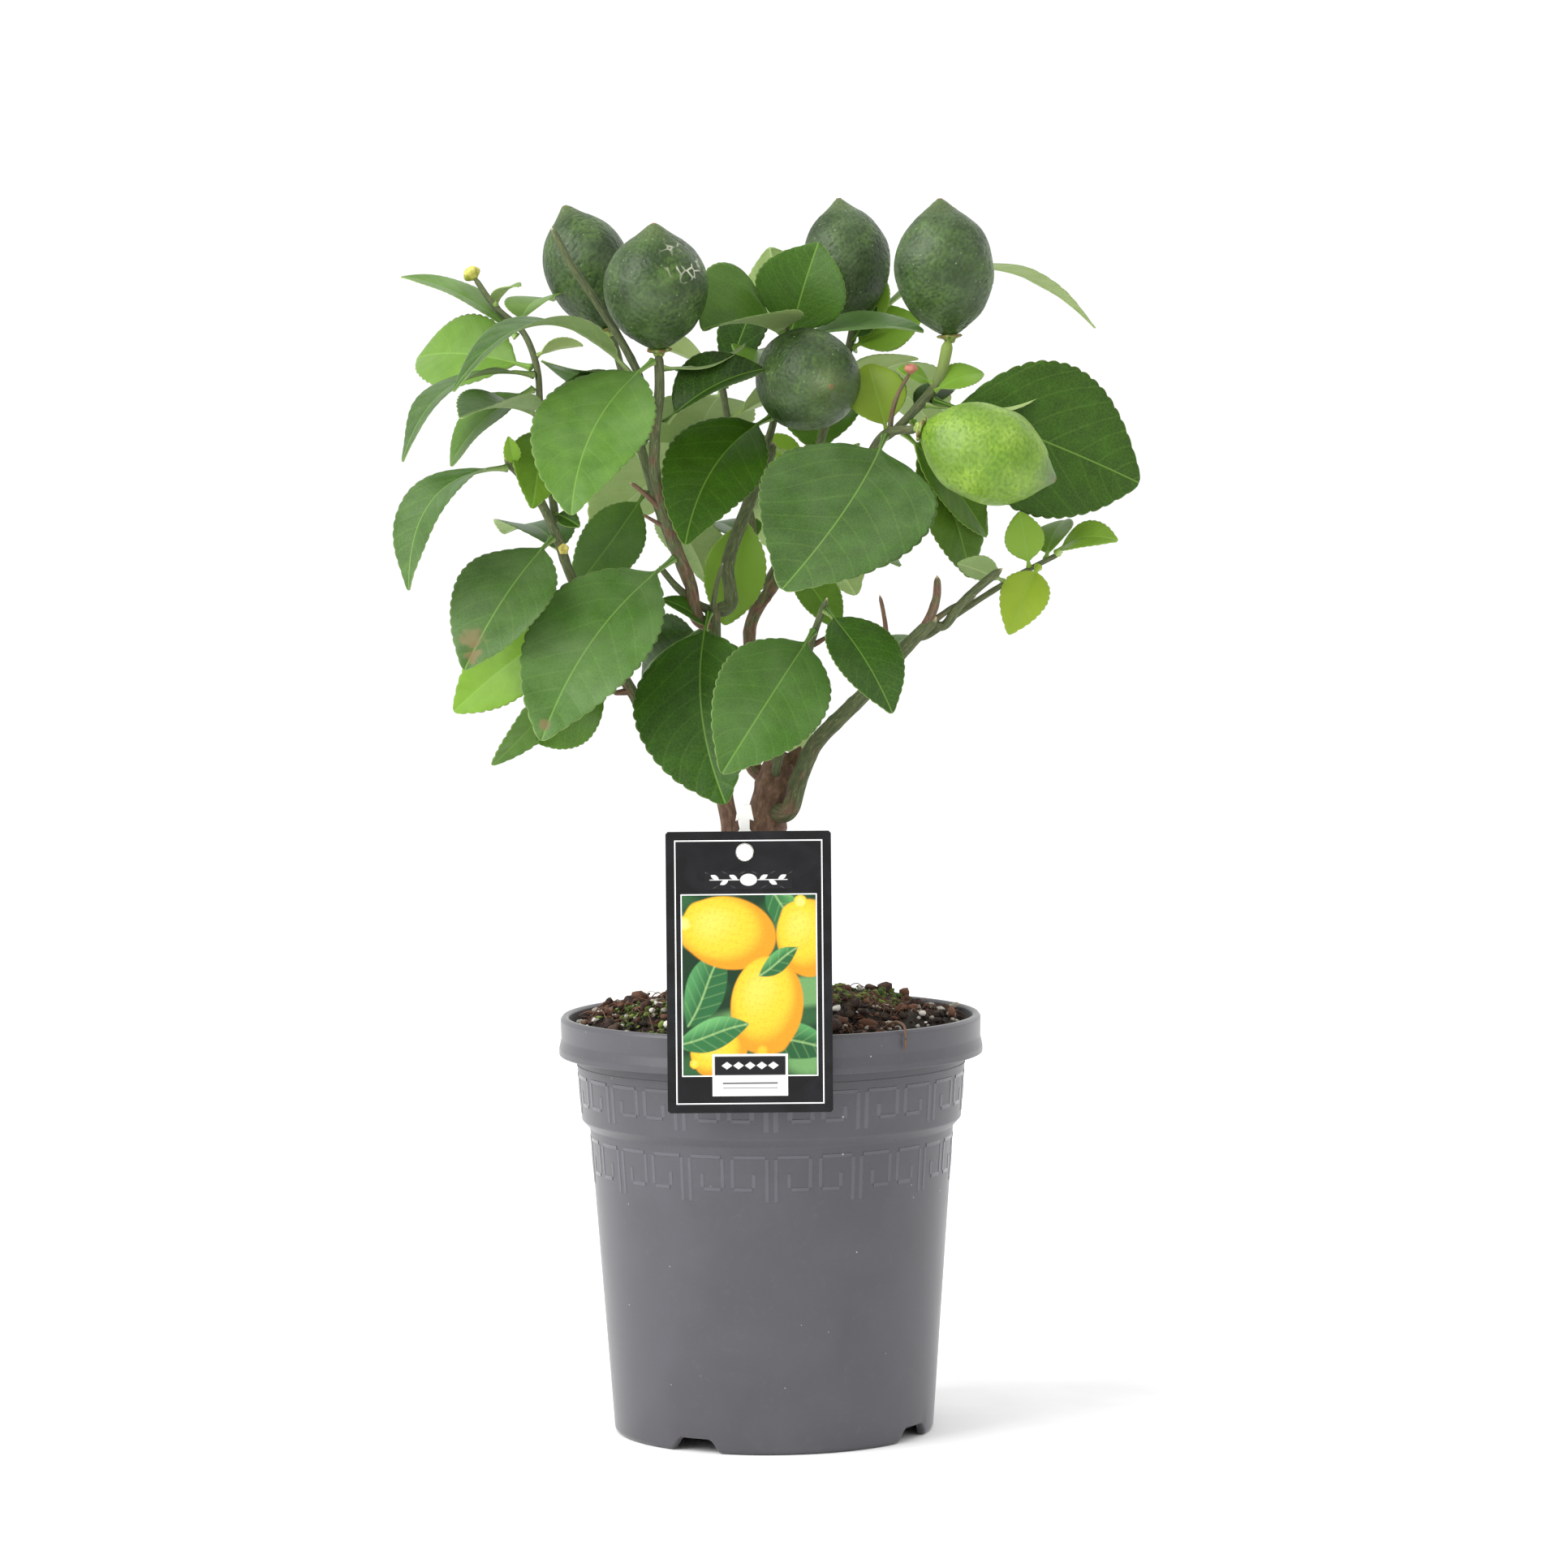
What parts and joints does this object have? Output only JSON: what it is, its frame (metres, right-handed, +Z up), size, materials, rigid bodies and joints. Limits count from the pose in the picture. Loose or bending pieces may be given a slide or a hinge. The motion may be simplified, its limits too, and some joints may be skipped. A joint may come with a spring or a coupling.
{
  "type": "potted lemon tree",
  "caption": "Young lemon tree with green fruit in a tapered nursery pot, with a picture label hung on a stake at the rim.",
  "frame": {"origin": "the pot's axis on the surface that the pot stands on", "axes": "+Z up along the pot's axis and the trunk, -Y towards the front where the label hangs, +X to the right seen from the front"},
  "size_m": [0.2616, 0.174, 0.4396],
  "materials": {
    "pot_plastic": "moulded, faintly grained, dark grey",
    "potting_soil": "loose peat with bark and perlite",
    "brown_bark": "rough brown bark",
    "green_bark": "smooth grey-green young bark",
    "leaf": "waxy green, paler below",
    "green_peel": "pitted unripe citrus peel with a thin bloom",
    "lime_green_peel": "pitted lime-green citrus peel",
    "label_card": "printed plastic card, black with a small fruit picture and no words",
    "stake_plastic": "moulded white"
  },
  "bodies": {
    "root": {"pot": "pot_plastic", "trunk": "brown_bark", "stem_left_main": "brown_bark", "stem_left_green": "green_bark", "stem_left_brown": "brown_bark", "stem_far_left": "brown_bark", "stem_left_top": "green_bark", "stem_centre": "brown_bark", "stem_fruit_right": "green_bark", "stem_rear": "green_bark", "stem_rear_left": "green_bark", "stem_mid_top": "green_bark", "stem_cut_shoot": "green_bark", "branch_right": "green_bark", "twig_right_cut": "green_bark", "twig_right_long": "green_bark", "twig_low": "green_bark", "stem_back": "green_bark", "lemon_left_rear": "green_peel", "lemon_left_front": "green_peel", "lemon_middle_front": "green_peel", "lemon_middle_rear": "green_peel", "lemon_right_top": "green_peel", "lemon_right_front": "lime_green_peel", "leaf_left_narrow": "leaf", "leaf_left_back": "leaf", "leaf_left_arched": "leaf", "leaf_left_drooping": "leaf", "leaf_left_folded": "leaf", "leaf_left_long": "leaf", "leaf_left_hanging": "leaf", "leaf_left_inner": "leaf", "leaf_left_low": "leaf", "leaf_left_front": "leaf", "leaf_left_under": "leaf", "leaf_left_shaded": "leaf", "leaf_left_dark": "leaf", "leaf_middle_upper_left": "leaf", "leaf_middle_small": "leaf", "leaf_middle_dark": "leaf", "leaf_middle_folded": "leaf", "leaf_middle_upright": "leaf", "leaf_middle_side": "leaf", "leaf_low_long": "leaf", "leaf_low_front": "leaf", "leaf_low_right": "leaf", "leaf_centre_front": "leaf", "leaf_right_behind": "leaf", "leaf_right_large": "leaf", "leaf_right_long": "leaf", "leaf_right_twig_end": "leaf", "leaf_right_twig_low": "leaf", "leaf_back_left": "leaf", "leaf_back_middle": "leaf", "leaf_back_right": "leaf", "leaf_back_low": "leaf", "leaf_back_high": "leaf", "label_stake": "stake_plastic", "label": "label_card", "soil": "potting_soil"}
  },
  "joints": []
}
